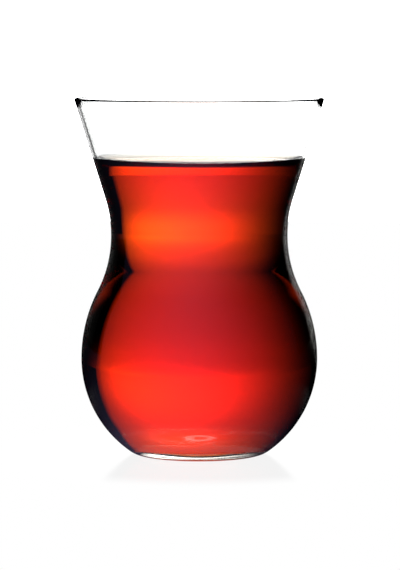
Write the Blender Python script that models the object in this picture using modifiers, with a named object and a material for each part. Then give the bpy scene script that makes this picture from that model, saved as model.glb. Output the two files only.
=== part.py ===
"""Tulip tea glass, filled with black tea, as a Blender script.

Run with: blender --background --python part.py

The part stands on Z = 0 with its axis on Z, in metres. It has two solids: the glass, turned from one
closed profile with a fire-polished lip, a waist, a round belly and a pushed-up foot, and the tea that
fills it up to the level in the flared mouth. The outside is a chain of tangent arcs walked down from
the lip, and the inside follows it at the thickness of the wall.
"""

from math import cos, exp, pi, radians, sin

import bpy

# Driving dimensions of the outside, in metres and radians
HEIGHT = 0.0860
RIM_RADIUS = 0.0300
FLARE_ANGLE = radians(17.3)
WAIST_BEND = 0.0294
SHOULDER_ANGLE = radians(27.3)
SHOULDER_BEND = 0.0356
BELLY_BEND = 0.0273
BELLY_TURN = radians(54.7)
HEEL_BEND = 0.0050

# Thickness of the glass
RIM_WALL = 0.0008
BELLY_WALL = 0.0014
BASE_WALL = 0.0036
HEEL_HEIGHT = 0.0100
FLOOR_RISE = 0.0004

# Hollow under the foot, inside the flat ring that the glass stands on
PUNT_RADIUS = 0.0114
PUNT_RISE = 0.0012

# Tea, which clears the glass by a hair and climbs the wall a little at its edge
TEA_LEVEL = 0.0704
TEA_GAP = 0.0003
MENISCUS_RISE = 0.0015
MENISCUS_REACH = 0.0013
MENISCUS_STEPS = (0.0, 0.0005, 0.0012, 0.0022, 0.0040)

# Fineness of the turned shapes
TURN_STEPS = 48
LIP_STEPS = 6
WAIST_STEPS = 8
SHOULDER_STEPS = 5
BELLY_STEPS = 8
HEEL_STEPS = 6
PUNT_STEPS = 4
FLOOR_STEPS = 3

MERGE_DISTANCE = 0.00001

GLASS_COLOUR = (0.93, 0.96, 0.95, 1.0)
TEA_COLOUR = (0.62, 0.07, 0.02, 1.0)


def clear_scene():
    """Removes the objects that a new Blender file starts with."""
    for leftover in list(bpy.data.objects):
        bpy.data.objects.remove(leftover, do_unlink=True)


def walk_arc(start, bend, turn, steps):
    """Stations (radius, height, heading) along a tangent arc. Heading is the lean in from straight down."""
    radius, height, heading = start
    side = 1 if turn > 0 else -1
    stations = []
    for step in range(1, steps + 1):
        leaning = heading + turn * step / steps
        stations.append(
            (
                radius + side * bend * (cos(leaning) - cos(heading)),
                height - side * bend * (sin(leaning) - sin(heading)),
                leaning,
            )
        )
    return stations


def outer_wall():
    """Stations down the outside, from the lip to the edge of the flat foot."""
    lip = RIM_WALL / 2
    start = (
        RIM_RADIUS - lip + lip * cos(FLARE_ANGLE),
        HEIGHT - lip - lip * sin(FLARE_ANGLE),
        FLARE_ANGLE,
    )
    curved_height = (
        WAIST_BEND * (sin(FLARE_ANGLE) + sin(SHOULDER_ANGLE))
        + SHOULDER_BEND * sin(SHOULDER_ANGLE)
        + BELLY_BEND * sin(BELLY_TURN)
        + HEEL_BEND * (1 - sin(BELLY_TURN))
    )
    mouth = (start[1] - curved_height) / cos(FLARE_ANGLE)
    wall = [
        start,
        (start[0] - mouth * sin(FLARE_ANGLE), start[1] - mouth * cos(FLARE_ANGLE), FLARE_ANGLE),
    ]
    wall += walk_arc(wall[-1], WAIST_BEND, -(FLARE_ANGLE + SHOULDER_ANGLE), WAIST_STEPS)
    wall += walk_arc(wall[-1], SHOULDER_BEND, SHOULDER_ANGLE, SHOULDER_STEPS)
    wall += walk_arc(wall[-1], BELLY_BEND, BELLY_TURN, BELLY_STEPS)
    wall += walk_arc(wall[-1], HEEL_BEND, pi / 2 - BELLY_TURN, HEEL_STEPS)
    return wall


def wall_thickness(height):
    """Thickness of the glass at a height: thin at the lip, a little more in the belly, heavy at the base."""
    drop = max(0.0, 1 - height / HEEL_HEIGHT)
    heavy = drop * drop * (3 - 2 * drop)
    plain = BELLY_WALL + (RIM_WALL - BELLY_WALL) * height / HEIGHT
    return plain + (BASE_WALL - plain) * heavy


def inset(wall, extra=0.0):
    """Points (radius, height) of the wall moved in by the thickness of the glass and an extra gap."""
    points = []
    for radius, height, heading in wall:
        depth = wall_thickness(height) + extra
        points.append((radius - depth * cos(heading), height + depth * sin(heading)))
    return points


def lip_points():
    """The round lip, from the inner wall over the top to the outer wall."""
    lip = RIM_WALL / 2
    points = []
    for step in range(1, LIP_STEPS):
        angle = pi - FLARE_ANGLE - pi * step / LIP_STEPS
        points.append((RIM_RADIUS - lip + lip * cos(angle), HEIGHT - lip + lip * sin(angle)))
    return points


def floor_points(edge, rise, steps):
    """A low dome from the axis out to a floor's edge, leaving out the edge itself."""
    return [
        (edge[0] * step / steps, edge[1] + rise * (1 + cos(pi * step / steps)) / 2)
        for step in range(steps)
    ]


def punt_points():
    """The hollow under the foot, from the inner edge of the standing ring to the axis."""
    return [
        (PUNT_RADIUS * (1 - step / PUNT_STEPS), PUNT_RISE * (1 - cos(pi * step / PUNT_STEPS)) / 2)
        for step in range(PUNT_STEPS + 1)
    ]


def glass_profile():
    """The closed profile of the glass, up the inside and down the outside."""
    outside = outer_wall()
    inside = inset(outside)[::-1]
    profile = floor_points(inside[0], FLOOR_RISE, FLOOR_STEPS) + inside
    profile += lip_points()
    profile += [(radius, height) for radius, height, heading in outside]
    profile += punt_points()
    return profile


def tea_profile():
    """The profile of the tea: its surface with the meniscus, then down beside the wall to the floor."""
    side = inset(outer_wall(), TEA_GAP)
    contact_height = TEA_LEVEL + MENISCUS_RISE
    top, below = side[0], side[1]
    share = (top[1] - contact_height) / (top[1] - below[1])
    contact_radius = top[0] + (below[0] - top[0]) * share
    surface = [
        (contact_radius - reach, TEA_LEVEL + MENISCUS_RISE * exp(-reach / MENISCUS_REACH))
        for reach in reversed(MENISCUS_STEPS)
    ]
    bottom = floor_points(side[-1], FLOOR_RISE, FLOOR_STEPS)[::-1]
    return [(0.0, TEA_LEVEL)] + surface + side[1:] + bottom


def coloured(name, colour, roughness):
    """A plain clear material in the part's own colour."""
    material = bpy.data.materials.new(name)
    material.use_nodes = True
    shader = material.node_tree.nodes["Principled BSDF"]
    shader.inputs["Base Color"].default_value = colour
    shader.inputs["Roughness"].default_value = roughness
    shader.inputs["Metallic"].default_value = 0.0
    shader.inputs["Transmission Weight"].default_value = 1.0
    material.diffuse_color = colour
    return material


def turned(name, profile, material, collection):
    """One solid turned about Z from a profile in the XZ plane."""
    mesh = bpy.data.meshes.new(name)
    corners = [(radius, 0.0, height) for radius, height in profile]
    edges = [(index, index + 1) for index in range(len(corners) - 1)]
    mesh.from_pydata(corners, edges, [])
    mesh.materials.append(material)
    solid = bpy.data.objects.new(name, mesh)
    collection.objects.link(solid)
    screw = solid.modifiers.new("turn", "SCREW")
    screw.axis = "Z"
    screw.angle = 2 * pi
    screw.steps = TURN_STEPS
    screw.render_steps = TURN_STEPS
    screw.use_merge_vertices = True
    screw.merge_threshold = MERGE_DISTANCE
    screw.use_smooth_shade = True
    return solid


def main():
    """Builds the glass and its tea in one collection."""
    clear_scene()
    parts = bpy.data.collections.new("tea_glass")
    bpy.context.scene.collection.children.link(parts)
    turned("glass", glass_profile(), coloured("clear_glass", GLASS_COLOUR, 0.02), parts)
    turned("tea", tea_profile(), coloured("black_tea", TEA_COLOUR, 0.05), parts)


main()
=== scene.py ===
"""The looks of a tulip tea glass, filled with black tea, on a glossy white table before a light panel.

The glass and the tea are turned finely from the same chain of tangent arcs as the model, so that light
bends through them smoothly. The light panel stands behind the glass, opposite the camera, and gives the
tea its glow and its dark sides. Every size is in metres, and every angle in radians.
"""

import logging
from collections.abc import Sequence
from dataclasses import dataclass, field
from enum import Enum
from math import cos, exp, pi, radians, sin

import bmesh
import bpy
from mathutils import Matrix, Vector

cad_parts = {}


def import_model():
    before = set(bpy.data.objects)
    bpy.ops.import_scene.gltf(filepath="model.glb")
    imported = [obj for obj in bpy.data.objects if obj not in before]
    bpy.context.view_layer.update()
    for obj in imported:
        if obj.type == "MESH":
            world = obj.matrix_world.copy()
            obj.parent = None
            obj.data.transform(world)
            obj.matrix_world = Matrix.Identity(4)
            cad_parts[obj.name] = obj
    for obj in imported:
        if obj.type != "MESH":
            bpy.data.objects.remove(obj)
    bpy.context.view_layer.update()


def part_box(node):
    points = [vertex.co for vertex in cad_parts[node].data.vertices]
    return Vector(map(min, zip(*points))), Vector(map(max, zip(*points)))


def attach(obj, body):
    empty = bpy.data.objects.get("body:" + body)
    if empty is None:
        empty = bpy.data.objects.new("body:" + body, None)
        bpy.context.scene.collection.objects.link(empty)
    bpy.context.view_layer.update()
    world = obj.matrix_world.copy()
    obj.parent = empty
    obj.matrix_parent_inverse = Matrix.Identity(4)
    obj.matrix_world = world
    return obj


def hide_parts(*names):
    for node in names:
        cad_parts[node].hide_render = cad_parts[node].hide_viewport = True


logging.basicConfig(level=logging.INFO, format="%(message)s")
log = logging.getLogger("tea_glass")

BODY = "root"

Point = tuple[float, float]
Span = tuple[float, float]
Colour = tuple[float, float, float, float]


class Slot(Enum):
    """The material slots that the pieces take their finish from."""

    GLASS = "clear_glass"
    TEA = "black_tea"


class Seen(Enum):
    """Kinds of ray that may see a piece of the studio."""

    CAMERA = "visible_camera"
    DIFFUSE = "visible_diffuse"
    REFLECTED = "visible_glossy"
    REFRACTED = "visible_transmission"


@dataclass(frozen=True)
class Station:
    """A point on the outside of the wall, with the wall's lean in from straight down."""

    radius: float
    height: float
    heading: float

    def inset(self, depth: float) -> Point:
        """The point that lies this deep in the wall, square to the outside."""
        return (self.radius - depth * cos(self.heading), self.height + depth * sin(self.heading))


@dataclass(frozen=True)
class Bend:
    """One tangent arc of the outline, walked downwards."""

    radius: float
    turn: float
    steps: int

    def walk(self, start: Station) -> list[Station]:
        """Stations along the arc, the start left out.

        Args:
            start: The station that the arc leaves from, and its heading there.

        Returns:
            The stations, evenly spaced, down to the end of the arc.
        """
        side = 1 if self.turn > 0 else -1
        stations = []
        for step in range(1, self.steps + 1):
            leaning = start.heading + self.turn * step / self.steps
            stations.append(
                Station(
                    start.radius + side * self.radius * (cos(leaning) - cos(start.heading)),
                    start.height - side * self.radius * (sin(leaning) - sin(start.heading)),
                    leaning,
                )
            )
        return stations


@dataclass(frozen=True)
class Wall:
    """The outline of the glass and the thickness behind it."""

    height: float
    rim_radius: float
    flare: float = radians(17.3)
    waist: Bend = Bend(0.0294, -radians(17.3 + 27.3), 40)
    shoulder: Bend = Bend(0.0356, radians(27.3), 26)
    belly: Bend = Bend(0.0273, radians(54.7), 40)
    heel: Bend = Bend(0.0050, radians(90.0 - 54.7), 24)
    mouth_steps: int = 12
    rim_wall: float = 0.0008
    belly_wall: float = 0.0014
    base_wall: float = 0.0036
    heavy_below: float = 0.0100

    def outside(self) -> list[Station]:
        """Walks the outside down from the lip.

        Returns:
            The stations from just under the round lip to the edge of the flat foot.
        """
        lip = self.rim_wall / 2
        start = Station(
            self.rim_radius - lip + lip * cos(self.flare),
            self.height - lip - lip * sin(self.flare),
            self.flare,
        )
        bends = (self.waist, self.shoulder, self.belly, self.heel)
        curved = 0.0
        heading = self.flare
        for bend in bends:
            side = 1 if bend.turn > 0 else -1
            curved += side * bend.radius * (sin(heading + bend.turn) - sin(heading))
            heading += bend.turn
        mouth = (start.height - curved) / cos(self.flare)
        stations = [
            Station(
                start.radius - mouth * sin(self.flare) * step / self.mouth_steps,
                start.height - mouth * cos(self.flare) * step / self.mouth_steps,
                self.flare,
            )
            for step in range(self.mouth_steps + 1)
        ]
        for bend in bends:
            stations += bend.walk(stations[-1])
        return stations

    def thickness(self, height: float) -> float:
        """How thick the glass is at a height: thin at the lip, and heavy at the base."""
        drop = max(0.0, 1 - height / self.heavy_below)
        heavy = drop * drop * (3 - 2 * drop)
        plain = self.belly_wall + (self.rim_wall - self.belly_wall) * height / self.height
        return plain + (self.base_wall - plain) * heavy

    def inside(self, reach: float = 0.0) -> list[Point]:
        """Points down the inside of the wall.

        Args:
            reach: How far the points go into the glass, for what fills it.

        Returns:
            The points (radius, height) from the lip to the edge of the inner floor.
        """
        return [
            station.inset(self.thickness(station.height) - reach) for station in self.outside()
        ]


def dome(edge: Point, rise: float, steps: int) -> list[Point]:
    """Points of a low dome.

    Args:
        edge: The dome's edge, which is left out.
        rise: How far the middle stands over the edge.
        steps: How many steps lie between the axis and the edge.

    Returns:
        The points (radius, height) from the axis outwards.
    """
    return [
        (edge[0] * step / steps, edge[1] + rise * (1 + cos(pi * step / steps)) / 2)
        for step in range(steps)
    ]


def turned(name: str, profile: Sequence[Point], steps: int) -> bpy.types.Object:
    """Turns a profile about the upright axis into one closed piece.

    Args:
        name: The new piece's name.
        profile: Points (radius, height) from the axis round to the axis again.
        steps: How many steps the full turn has.

    Returns:
        The piece, smooth and linked to the scene.
    """
    shape = bmesh.new()
    corners = [shape.verts.new((radius, 0.0, height)) for radius, height in profile]
    edges = [shape.edges.new(pair) for pair in zip(corners, corners[1:])]
    bmesh.ops.spin(
        shape,
        geom=corners + edges,
        cent=(0.0, 0.0, 0.0),
        axis=(0.0, 0.0, 1.0),
        angle=2 * pi,
        steps=steps,
        use_merge=True,
    )
    bmesh.ops.remove_doubles(shape, verts=shape.verts, dist=0.000001)
    bmesh.ops.recalc_face_normals(shape, faces=shape.faces)
    mesh = bpy.data.meshes.new(name)
    shape.to_mesh(mesh)
    shape.free()
    mesh.shade_smooth()
    piece = bpy.data.objects.new(name, mesh)
    bpy.context.scene.collection.objects.link(piece)
    return piece


class Nodes:
    """A small hand for building node trees."""

    def __init__(self, tree: bpy.types.NodeTree) -> None:
        """Takes the tree that the nodes go in."""
        self.tree = tree

    def add(self, kind: str, **inputs: object) -> bpy.types.Node:
        """Adds a node.

        Args:
            kind: The node's type name.
            **inputs: Values or sockets by the input's name, with underscores for spaces.

        Returns:
            The new node.
        """
        node = self.tree.nodes.new(kind)
        for name, value in inputs.items():
            self.feed(node.inputs[name.replace("_", " ")], value)
        return node

    def feed(self, socket: bpy.types.NodeSocket, value: object) -> None:
        """Links a socket to an input, or sets its value."""
        if isinstance(value, bpy.types.NodeSocket):
            self.tree.links.new(value, socket)
        else:
            socket.default_value = value

    def sum(self, operation: str, *terms: object) -> bpy.types.NodeSocket:
        """Works out one number.

        Args:
            operation: The Math node's operation.
            *terms: Numbers or sockets, in order.

        Returns:
            The socket that holds the result.
        """
        node = self.tree.nodes.new("ShaderNodeMath")
        node.operation = operation
        for socket, term in zip(node.inputs, terms):
            self.feed(socket, term)
        return node.outputs[0]


class RippleGroup:
    """Uneven melt or settling liquid: a shared effect with a mask, a tint and a normal."""

    NAME = "surface_ripple"
    DETAIL = 1.0
    ROUGHNESS = 0.4

    @classmethod
    def tree(cls) -> bpy.types.NodeTree:
        """Finds the group, or builds it the first time.

        Returns:
            The group with inputs Scale, Stretch and Height, and outputs Mask and Normal.
        """
        known = bpy.data.node_groups.get(cls.NAME)
        if known is not None:
            return known
        tree = bpy.data.node_groups.new(cls.NAME, "ShaderNodeTree")
        for name, value in (("Scale", 60.0), ("Stretch", 1.0), ("Height", 0.1)):
            socket = tree.interface.new_socket(name, in_out="INPUT", socket_type="NodeSocketFloat")
            socket.default_value = value
        tree.interface.new_socket("Mask", in_out="OUTPUT", socket_type="NodeSocketFloat")
        tree.interface.new_socket("Normal", in_out="OUTPUT", socket_type="NodeSocketVector")
        nodes = Nodes(tree)
        entry = nodes.add("NodeGroupInput")
        place = nodes.add("ShaderNodeTexCoord").outputs["Object"]
        stretched = nodes.add("ShaderNodeCombineXYZ", X=1.0, Y=1.0, Z=entry.outputs["Stretch"])
        scaled = nodes.add("ShaderNodeVectorMath")
        scaled.operation = "MULTIPLY"
        nodes.feed(scaled.inputs[0], place)
        nodes.feed(scaled.inputs[1], stretched.outputs[0])
        noise = nodes.add(
            "ShaderNodeTexNoise",
            Vector=scaled.outputs[0],
            Scale=entry.outputs["Scale"],
            Detail=cls.DETAIL,
            Roughness=cls.ROUGHNESS,
        )
        bump = nodes.add(
            "ShaderNodeBump",
            Strength=1.0,
            Distance=entry.outputs["Height"],
            Height=noise.outputs["Fac"],
        )
        nodes.add("NodeGroupOutput", Mask=noise.outputs["Fac"], Normal=bump.outputs["Normal"])
        return tree


@dataclass(frozen=True)
class ClearFinish:
    """A clear, smooth finish whose ripple and faint tint change over the surface."""

    name: str
    refraction: float
    tint: Colour
    tint_far: Colour
    gloss: tuple[float, float]
    ripple_scale: float
    ripple_stretch: float
    ripple_height: float
    absorbed: tuple[float, float, float] = (0.0, 0.0, 0.0)

    def material(self) -> bpy.types.Material:
        """Builds the finish.

        Returns:
            The material, with a plain absorbing volume where the finish takes colours from light.
        """
        material = bpy.data.materials.new(self.name)
        material.use_nodes = True
        tree = material.node_tree
        tree.nodes.clear()
        nodes = Nodes(tree)
        ripple = nodes.add("ShaderNodeGroup")
        ripple.node_tree = RippleGroup.tree()
        ripple.inputs["Scale"].default_value = self.ripple_scale
        ripple.inputs["Stretch"].default_value = self.ripple_stretch
        ripple.inputs["Height"].default_value = self.ripple_height
        mixed = nodes.add("ShaderNodeMix")
        mixed.data_type = "RGBA"
        nodes.feed(mixed.inputs["Factor"], ripple.outputs["Mask"])
        colours = [socket for socket in mixed.inputs if socket.type == "RGBA"]
        nodes.feed(colours[0], self.tint)
        nodes.feed(colours[1], self.tint_far)
        result = next(socket for socket in mixed.outputs if socket.type == "RGBA")
        roughness = nodes.add(
            "ShaderNodeMapRange",
            Value=ripple.outputs["Mask"],
            To_Min=self.gloss[0],
            To_Max=self.gloss[1],
        )
        shader = nodes.add(
            "ShaderNodeBsdfPrincipled",
            Base_Color=result,
            Roughness=roughness.outputs["Result"],
            Metallic=0.0,
            IOR=self.refraction,
            Transmission_Weight=1.0,
            Normal=ripple.outputs["Normal"],
        )
        output = nodes.add("ShaderNodeOutputMaterial", Surface=shader.outputs["BSDF"])
        strongest = max(self.absorbed)
        if strongest > 0:
            colour = tuple(1 - taken / strongest for taken in self.absorbed)
            volume = nodes.add("ShaderNodeVolumeAbsorption", Color=(*colour, 1.0), Density=strongest)
            nodes.feed(output.inputs["Volume"], volume.outputs["Volume"])
        return material


GLASS_FINISH = ClearFinish(
    name="clear_glass",
    refraction=1.5,
    tint=(0.995, 1.0, 0.998, 1.0),
    tint_far=(0.985, 0.995, 0.99, 1.0),
    gloss=(0.0, 0.004),
    ripple_scale=55.0,
    ripple_stretch=0.35,
    ripple_height=0.00004,
)

TEA_FINISH = ClearFinish(
    name="black_tea",
    refraction=1.33,
    tint=(1.0, 1.0, 1.0, 1.0),
    tint_far=(0.99, 0.98, 0.97, 1.0),
    gloss=(0.0, 0.002),
    ripple_scale=30.0,
    ripple_stretch=1.0,
    ripple_height=0.00001,
    absorbed=(12.0, 95.0, 220.0),
)


@dataclass
class Glass:
    """The clear glass: round lip, flared mouth, waist, belly and a foot that is pushed up."""

    wall: Wall
    lip_steps: int = 16
    floor_rise: float = 0.0004
    floor_steps: int = 10
    punt_radius: float = 0.0114
    punt_rise: float = 0.0012
    punt_steps: int = 12
    turn_steps: int = 192
    finish: ClearFinish = GLASS_FINISH

    def lip(self) -> list[Point]:
        """Points over the round lip, from the inner wall to the outer wall."""
        half = self.wall.rim_wall / 2
        centre = self.wall.rim_radius - half
        points = []
        for step in range(1, self.lip_steps):
            angle = pi - self.wall.flare - pi * step / self.lip_steps
            points.append((centre + half * cos(angle), self.wall.height - half + half * sin(angle)))
        return points

    def punt(self) -> list[Point]:
        """Points of the hollow under the foot, from the standing ring to the axis."""
        return [
            (
                self.punt_radius * (1 - step / self.punt_steps),
                self.punt_rise * (1 - cos(pi * step / self.punt_steps)) / 2,
            )
            for step in range(self.punt_steps + 1)
        ]

    def profile(self) -> list[Point]:
        """The closed profile, up the inside and down the outside.

        Returns:
            Points (radius, height) from the inner floor's middle to the middle of the foot.
        """
        inside = self.wall.inside()[::-1]
        points = dome(inside[0], self.floor_rise, self.floor_steps) + inside
        points += self.lip()
        points += [(station.radius, station.height) for station in self.wall.outside()]
        points += self.punt()
        return points

    def build(self) -> bpy.types.Object:
        """Turns the glass and dresses it.

        Returns:
            The piece, which stands for the model's glass.
        """
        piece = turned("blown_glass", self.profile(), self.turn_steps)
        piece.data.materials.append(self.finish.material())
        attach(piece, BODY)
        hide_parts("glass")
        return piece


@dataclass
class Tea:
    """The tea, which reaches just into the wall and climbs it a little at its edge."""

    wall: Wall
    contact_height: float
    meniscus_rise: float = 0.0015
    meniscus_length: float = 0.0013
    meniscus_steps: int = 24
    meniscus_spans: float = 5.0
    reach: float = 0.00012
    floor_rise: float = 0.0004
    floor_steps: int = 10
    turn_steps: int = 192
    finish: ClearFinish = TEA_FINISH

    def surface(self, edge: Point) -> list[Point]:
        """The tea's surface.

        Args:
            edge: Where the tea meets the wall.

        Returns:
            Points (radius, height) from the axis to the edge.
        """
        level = edge[1] - self.meniscus_rise
        points = [(0.0, level)]
        for step in range(self.meniscus_steps):
            share = (1 - step / self.meniscus_steps) ** 2
            away = share * self.meniscus_spans * self.meniscus_length
            climb = self.meniscus_rise * exp(-away / self.meniscus_length)
            points.append((edge[0] - away, level + climb))
        return points + [edge]

    def profile(self) -> list[Point]:
        """The closed profile: the surface, then down beside the wall to the floor.

        Returns:
            Points (radius, height) from the middle of the surface to the middle of the floor.
        """
        side = self.wall.inside(self.reach)
        above = [point for point in side if point[1] > self.contact_height][-1]
        below = [point for point in side if point[1] <= self.contact_height]
        share = (above[1] - self.contact_height) / (above[1] - below[0][1])
        edge = (above[0] + (below[0][0] - above[0]) * share, self.contact_height)
        bottom = dome(below[-1], self.floor_rise, self.floor_steps)[::-1]
        return self.surface(edge) + below + bottom

    def build(self) -> bpy.types.Object:
        """Turns the tea and dresses it.

        Returns:
            The piece, which stands for the model's tea.
        """
        piece = turned("poured_tea", self.profile(), self.turn_steps)
        piece.data.materials.append(self.finish.material())
        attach(piece, BODY)
        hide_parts("tea")
        return piece


class GlowGroup:
    """A glow round the glass: bright in the middle, and falling off to both sides."""

    NAME = "round_glow"
    INPUTS = (
        ("Toward", 1.0),
        ("Apex", 0.0),
        ("Middle", 0.0),
        ("Spread", 0.5),
        ("Edge", 0.6),
        ("Softness", 0.1),
    )

    @classmethod
    def tree(cls) -> bpy.types.NodeTree:
        """Finds the group, or builds it the first time.

        Returns:
            The group with the side Toward, the fan's Apex, the angles Middle, Spread, Edge and
            Softness, and the output Glow.
        """
        known = bpy.data.node_groups.get(cls.NAME)
        if known is not None:
            return known
        tree = bpy.data.node_groups.new(cls.NAME, "ShaderNodeTree")
        for name, value in cls.INPUTS:
            socket = tree.interface.new_socket(name, in_out="INPUT", socket_type="NodeSocketFloat")
            socket.default_value = value
        tree.interface.new_socket("Glow", in_out="OUTPUT", socket_type="NodeSocketFloat")
        nodes = Nodes(tree)
        entry = nodes.add("NodeGroupInput")
        place = nodes.add("ShaderNodeTexCoord").outputs["Object"]
        parts = nodes.add("ShaderNodeSeparateXYZ", Vector=place)
        depth = nodes.sum("MULTIPLY", parts.outputs["Y"], entry.outputs["Toward"])
        ahead = nodes.sum("SUBTRACT", depth, entry.outputs["Apex"])
        angle = nodes.sum("ARCTAN2", parts.outputs["X"], ahead)
        away = nodes.sum("SUBTRACT", angle, entry.outputs["Middle"])
        away = nodes.sum("DIVIDE", away, entry.outputs["Spread"])
        square = nodes.sum("MULTIPLY", away, away)
        glow = nodes.sum("EXPONENT", nodes.sum("MULTIPLY", square, -1.0))
        past = nodes.sum("SUBTRACT", entry.outputs["Edge"], angle)
        inside = nodes.add("ShaderNodeMapRange", Value=past, From_Max=entry.outputs["Softness"])
        nodes.add("NodeGroupOutput", Glow=nodes.sum("MULTIPLY", glow, inside.outputs["Result"]))
        return tree


@dataclass(frozen=True)
class Glow:
    """How a light falls off round the glass, as angles from straight behind or before it."""

    strength: float
    middle: float
    spread: float
    edge: float = pi
    softness: float = radians(5)
    apex: float = 0.0
    toward: float = 1.0

    def strength_at(self, nodes: Nodes) -> bpy.types.NodeSocket:
        """Adds the glow to a material.

        Args:
            nodes: The material's nodes.

        Returns:
            The socket that holds the glow at each point.
        """
        group = nodes.add("ShaderNodeGroup")
        group.node_tree = GlowGroup.tree()
        for name in ("toward", "apex", "middle", "spread", "edge", "softness"):
            group.inputs[name.capitalize()].default_value = getattr(self, name)
        return nodes.sum("MULTIPLY", group.outputs["Glow"], self.strength)


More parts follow.
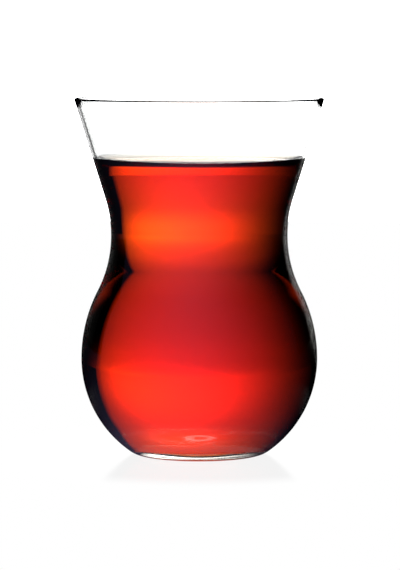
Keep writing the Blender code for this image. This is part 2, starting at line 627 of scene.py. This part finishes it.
@dataclass
class Studio:
    """The white table, the light panel behind the glass and the dim room round them.

    The panel and the table turn with the camera about the glass, as round a turntable, so that every
    side of the glass is seen against the light. The panel has a broad light with a hot spot low in it.
    On the table, light that has passed through the glass sees painted light: a fan of floor light behind
    it, a patch near it and a faint disc under it, and reflections see a painted bluish veil.
    """

    broad: Glow = Glow(1.5, radians(8), radians(25), edge=radians(36))
    hot: Glow = Glow(4.1, radians(8), radians(15.5))
    hot_height: float = 0.04
    hot_spread: float = 0.13
    floor: Glow = Glow(1.0, radians(10), radians(25), edge=radians(38), apex=0.05)
    veil: Glow = Glow(0.6, radians(-15), radians(62), toward=-1.0)
    veil_colour: Colour = (0.55, 0.5, 1.0, 1.0)
    panel_distance: float = 0.9
    panel_left: float = radians(-50)
    panel_right: float = radians(36)
    panel_low: float = -0.12
    panel_high: float = 1.40
    wall_steps: int = 64
    table_reach: float = 0.88
    table_steps: int = 96
    floor_ramp: Span = (0.10, 0.20)
    floor_glow: Span = (1.15, 1.7)
    hot_ramp: Span = (0.12, 0.70)
    under_ramp: Span = (0.012, 0.026)
    under_glow: float = 0.3
    near_ramp: Span = (0.035, 0.050)
    near_fade: Span = (0.060, 0.085)
    near: Glow = Glow(0.8, 0.0, radians(40))
    mirror_ramp: Span = (0.010, 0.026)
    table_white: float = 1.0
    table_gloss: float = 0.2
    table_roughness: float = 0.12
    polish_ramp: Span = (0.040, 0.056)
    polish_power: float = 4.0
    polish_blend: float = 0.5
    card_glow: float = 1.4
    card_half_width: float = 0.12
    card_share: float = 0.95
    room_white: float = 1.4
    fill_high: float = 3.5
    fill_distance: float = 1.2
    fill_side: float = radians(70)

    def show_to(self, piece: bpy.types.Object, *rays: Seen) -> None:
        """Lets only some kinds of ray see a piece.

        Args:
            piece: The piece of the studio.
            *rays: The kinds of ray that see it.
        """
        for kind in Seen:
            setattr(piece, kind.value, kind in rays)

    def stand(self, camera: bpy.types.Object) -> bpy.types.Object:
        """Makes the stand that turns with the camera about the glass.

        Args:
            camera: The camera that the stand follows.

        Returns:
            The stand, which the studio's pieces hang on.
        """
        stand = bpy.data.objects.new("studio_stand", None)
        bpy.context.scene.collection.objects.link(stand)
        follow = stand.constraints.new("COPY_ROTATION")
        follow.target = camera
        follow.use_x = False
        follow.use_y = False
        return stand

    def placed(self, name: str, shape: bmesh.types.BMesh, stand: bpy.types.Object) -> bpy.types.Object:
        """Makes a piece of the studio from a shape.

        Args:
            name: The piece's name.
            shape: The shape, which is freed.
            stand: The stand that the piece hangs on.

        Returns:
            The piece, staged.
        """
        mesh = bpy.data.meshes.new(name)
        shape.to_mesh(mesh)
        shape.free()
        piece = bpy.data.objects.new(name, mesh)
        bpy.context.scene.collection.objects.link(piece)
        piece.parent = stand
        return piece

    def blank(self, name: str) -> tuple[bpy.types.Material, Nodes]:
        """Starts a material without nodes.

        Args:
            name: The material's name.

        Returns:
            The material and a hand for its nodes.
        """
        material = bpy.data.materials.new(name)
        material.use_nodes = True
        material.node_tree.nodes.clear()
        return material, Nodes(material.node_tree)

    def fade(
        self,
        nodes: Nodes,
        value: bpy.types.NodeSocket,
        along: Span,
        result: Span = (0.0, 1.0),
    ) -> bpy.types.NodeSocket:
        """Fades smoothly from one result to another.

        Args:
            nodes: The material's nodes.
            value: What the fade follows.
            along: Where the fade starts and ends.
            result: The results at its start and its end.

        Returns:
            The socket that holds the result.
        """
        node = nodes.add(
            "ShaderNodeMapRange",
            Value=value,
            From_Min=along[0],
            From_Max=along[1],
            To_Min=result[0],
            To_Max=result[1],
        )
        node.interpolation_type = "SMOOTHSTEP"
        return node.outputs["Result"]

    def curved_wall(
        self, distance: float, left: float, right: float, top: float
    ) -> bmesh.types.BMesh:
        """An upright wall that bends round the glass.

        Args:
            distance: How far it stands from the glass.
            left: Where it starts, as an angle from straight behind the glass.
            right: Where it ends.
            top: How high it stands.

        Returns:
            The wall's shape.
        """
        shape = bmesh.new()
        start = Matrix.Rotation(-left, 3, "Z") @ Vector((0.0, distance, 0.0))
        low = shape.verts.new((start.x, start.y, self.panel_low))
        high = shape.verts.new((start.x, start.y, top))
        edge = shape.edges.new((low, high))
        bmesh.ops.spin(
            shape,
            geom=[low, high, edge],
            cent=(0.0, 0.0, 0.0),
            axis=(0.0, 0.0, 1.0),
            angle=left - right,
            steps=self.wall_steps,
        )
        return shape

    def panel(self, stand: bpy.types.Object) -> bpy.types.Object:
        """The curved light panel behind the glass.

        Args:
            stand: The stand that it hangs on.

        Returns:
            The panel, which refracted light and the camera see, and reflections don't.
        """
        shape = self.curved_wall(
            self.panel_distance, self.panel_left, self.panel_right, self.panel_high
        )
        piece = self.placed("light_panel", shape, stand)
        material, nodes = self.blank("panel_light")
        place = nodes.add("ShaderNodeTexCoord").outputs["Object"]
        height = nodes.add("ShaderNodeSeparateXYZ", Vector=place).outputs["Z"]
        over = nodes.sum("DIVIDE", nodes.sum("SUBTRACT", height, self.hot_height), self.hot_spread)
        square = nodes.sum("MULTIPLY", over, over)
        band = nodes.sum("EXPONENT", nodes.sum("MULTIPLY", square, -1.0))
        hot = nodes.sum("MULTIPLY", self.hot.strength_at(nodes), band)
        lit = nodes.sum("ADD", self.broad.strength_at(nodes), hot)
        rays = nodes.add("ShaderNodeLightPath")
        white = nodes.sum("MULTIPLY", rays.outputs["Is Camera Ray"], self.room_white)
        light = nodes.add("ShaderNodeEmission", Strength=nodes.sum("MAXIMUM", lit, white))
        nodes.add("ShaderNodeOutputMaterial", Surface=light.outputs[0])
        piece.data.materials.append(material)
        self.show_to(piece, Seen.CAMERA, Seen.REFRACTED, Seen.DIFFUSE)
        return piece

    def table_glow(self, nodes: Nodes, reach: bpy.types.NodeSocket) -> bpy.types.NodeSocket:
        """The table's painted light for rays that have passed through the glass.

        Args:
            nodes: The table's nodes.
            reach: How far each point lies from the glass's axis.

        Returns:
            The socket that holds the strongest of the floor, the disc under the glass and the patch
            near it.
        """
        far = self.fade(nodes, reach, self.floor_ramp, self.floor_glow)
        floor = nodes.sum("MULTIPLY", self.floor.strength_at(nodes), far)
        hot_share = self.fade(nodes, reach, self.hot_ramp)
        hot = nodes.sum("MULTIPLY", self.hot.strength_at(nodes), hot_share)
        under = self.fade(nodes, reach, self.under_ramp, (self.under_glow, 0.0))
        near_share = self.fade(nodes, reach, self.near_fade, (1.0, 0.0))
        near = nodes.sum("MULTIPLY", self.near.strength_at(nodes), near_share)
        near = nodes.sum("MULTIPLY", near, self.fade(nodes, reach, self.near_ramp))
        close = nodes.sum("MAXIMUM", under, near)
        return nodes.sum("MAXIMUM", nodes.sum("ADD", floor, hot), close)

    def table(self, stand: bpy.types.Object) -> bpy.types.Object:
        """The white table, which glows with painted light in place of the panel's, with a faint gloss.

        Args:
            stand: The stand that it turns with.

        Returns:
            The table, a round plane.
        """
        shape = bmesh.new()
        bmesh.ops.create_circle(shape, cap_ends=True, segments=self.table_steps, radius=self.table_reach)
        piece = self.placed("table", shape, stand)
        material, nodes = self.blank("table_white")
        place = nodes.add("ShaderNodeTexCoord").outputs["Object"]
        away = nodes.add("ShaderNodeVectorMath")
        away.operation = "LENGTH"
        nodes.feed(away.inputs[0], place)
        reach = away.outputs["Value"]
        rays = nodes.add("ShaderNodeLightPath")
        # Painted light: the table's own glow, shaped round the glass, stands in for the panel's light
        # falling on it.
        through = nodes.add("ShaderNodeEmission", Strength=self.table_glow(nodes, reach))
        # Painted light: reflections that reach the table see a bluish glow painted on it.
        veil_share = self.fade(nodes, reach, self.mirror_ramp)
        veil = nodes.sum("MULTIPLY", self.veil.strength_at(nodes), veil_share)
        mirrored = nodes.add("ShaderNodeEmission", Color=self.veil_colour, Strength=veil)
        hidden = nodes.add("ShaderNodeMixShader", Fac=rays.outputs["Is Reflection Ray"])
        nodes.feed(hidden.inputs[1], through.outputs[0])
        nodes.feed(hidden.inputs[2], mirrored.outputs[0])
        shown = nodes.add("ShaderNodeEmission", Strength=self.table_white)
        gloss = nodes.add("ShaderNodeBsdfGlossy", Roughness=self.table_roughness)
        facing = nodes.add("ShaderNodeLayerWeight", Blend=self.polish_blend).outputs["Facing"]
        polish = self.fade(nodes, reach, self.polish_ramp, (self.table_gloss, 0.0))
        share = nodes.sum("MULTIPLY", nodes.sum("POWER", facing, self.polish_power), polish)
        glossy = nodes.add("ShaderNodeMixShader", Fac=share)
        nodes.feed(glossy.inputs[1], shown.outputs[0])
        nodes.feed(glossy.inputs[2], gloss.outputs[0])
        surface = nodes.add("ShaderNodeMixShader", Fac=rays.outputs["Is Camera Ray"])
        nodes.feed(surface.inputs[1], hidden.outputs[0])
        nodes.feed(surface.inputs[2], glossy.outputs[0])
        nodes.add("ShaderNodeOutputMaterial", Surface=surface.outputs[0])
        piece.data.materials.append(material)
        return piece

    def card(self, stand: bpy.types.Object) -> bpy.types.Object:
        """The narrow bright card behind the glass that only reflections in the table see.

        Args:
            stand: The stand that it hangs on.

        Returns:
            The card, an upright plane.
        """
        shape = bmesh.new()
        bmesh.ops.create_grid(shape, x_segments=1, y_segments=1, size=1.0)
        turn = Matrix.Rotation(radians(90), 4, "X")
        size = Matrix.Diagonal((self.card_half_width, self.panel_high / 2, 1.0, 1.0))
        place = Matrix.Translation((0.0, self.panel_distance * self.card_share, self.panel_high / 2))
        bmesh.ops.transform(shape, matrix=place @ turn @ size, verts=shape.verts)
        piece = self.placed("reflection_card", shape, stand)
        material, nodes = self.blank("card_light")
        rays = nodes.add("ShaderNodeLightPath")
        soft = nodes.sum("SUBTRACT", 1.0, rays.outputs["Is Singular Ray"])
        light = nodes.add("ShaderNodeEmission", Strength=nodes.sum("MULTIPLY", soft, self.card_glow))
        nodes.add("ShaderNodeOutputMaterial", Surface=light.outputs[0])
        piece.data.materials.append(material)
        self.show_to(piece, Seen.REFLECTED)
        return piece

    def fill(self, stand: bpy.types.Object) -> bpy.types.Object:
        """The dim wall round the camera's side, which only reflections see.

        Args:
            stand: The stand that it hangs on.

        Returns:
            The wall.
        """
        shape = self.curved_wall(
            self.fill_distance, self.fill_side, 2 * pi - self.fill_side, self.fill_high
        )
        piece = self.placed("fill_wall", shape, stand)
        material, nodes = self.blank("fill_light")
        glow = self.veil.strength_at(nodes)
        light = nodes.add("ShaderNodeEmission", Color=self.veil_colour, Strength=glow)
        nodes.add("ShaderNodeOutputMaterial", Surface=light.outputs[0])
        piece.data.materials.append(material)
        self.show_to(piece, Seen.REFLECTED)
        return piece

    def room(self) -> None:
        """The room: white to the camera, and dark to every other ray."""
        world = bpy.data.worlds.new("room")
        world.use_nodes = True
        world.node_tree.nodes.clear()
        nodes = Nodes(world.node_tree)
        rays = nodes.add("ShaderNodeLightPath")
        seen = nodes.sum("MULTIPLY", rays.outputs["Is Camera Ray"], self.room_white)
        light = nodes.add("ShaderNodeBackground", Strength=seen)
        nodes.add("ShaderNodeOutputWorld", Surface=light.outputs[0])
        bpy.context.scene.world = world

    def build(self, camera: bpy.types.Object) -> None:
        """Builds the studio round the glass.

        Args:
            camera: The camera that the studio turns with.
        """
        stand = self.stand(camera)
        for make in (self.panel, self.table, self.card, self.fill):
            log.info("studio: %s", make(stand).name)
        self.room()


@dataclass
class Viewpoint:
    """The camera: far off with a long lens, a little over the rim, and pointing slightly down."""

    rim_height: float
    distance: float = 0.75
    over_rim: float = radians(1.4)
    aim: Vector = field(default_factory=lambda: Vector((0.00017, 0.0, 0.0409)))
    view_height: float = 0.1376
    sensor: float = 36.0

    def build(self) -> bpy.types.Object:
        """Places the camera.

        Returns:
            The scene's camera.
        """
        data = bpy.data.cameras.new("camera")
        data.sensor_fit = "AUTO"
        data.sensor_width = self.sensor
        camera = bpy.data.objects.new("camera", data)
        bpy.context.scene.collection.objects.link(camera)
        rise = self.rim_height + self.distance * sin(self.over_rim)
        camera.location = (self.aim.x, -self.distance, rise)
        gaze = self.aim - camera.location
        data.lens = self.sensor * gaze.length / self.view_height
        camera.rotation_euler = gaze.to_track_quat("-Z", "Y").to_euler()
        bpy.context.scene.camera = camera
        return camera


def set_picture() -> None:
    """Keeps whites plain, and lets light pass through every layer of glass and tea."""
    scene = bpy.context.scene
    scene.view_settings.view_transform = "Standard"
    scene.view_settings.look = "None"
    scene.cycles.max_bounces = 40
    scene.cycles.transmission_bounces = 32
    scene.cycles.glossy_bounces = 12
    scene.cycles.use_denoising = True


def main() -> None:
    """Builds the camera, the studio, the glass and the tea in order, and reports each."""
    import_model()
    glass_low, glass_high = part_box("glass")
    tea_low, tea_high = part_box("tea")
    camera = Viewpoint(rim_height=glass_high.z).build()
    log.info("camera with a lens of %.0f mm", camera.data.lens)
    Studio().build(camera)
    wall = Wall(height=glass_high.z, rim_radius=glass_high.x)
    for maker in (Glass(wall), Tea(wall, contact_height=tea_high.z)):
        piece = maker.build()
        log.info("%s with %d faces", piece.name, len(piece.data.polygons))
    set_picture()


if __name__ == "__main__":
    main()
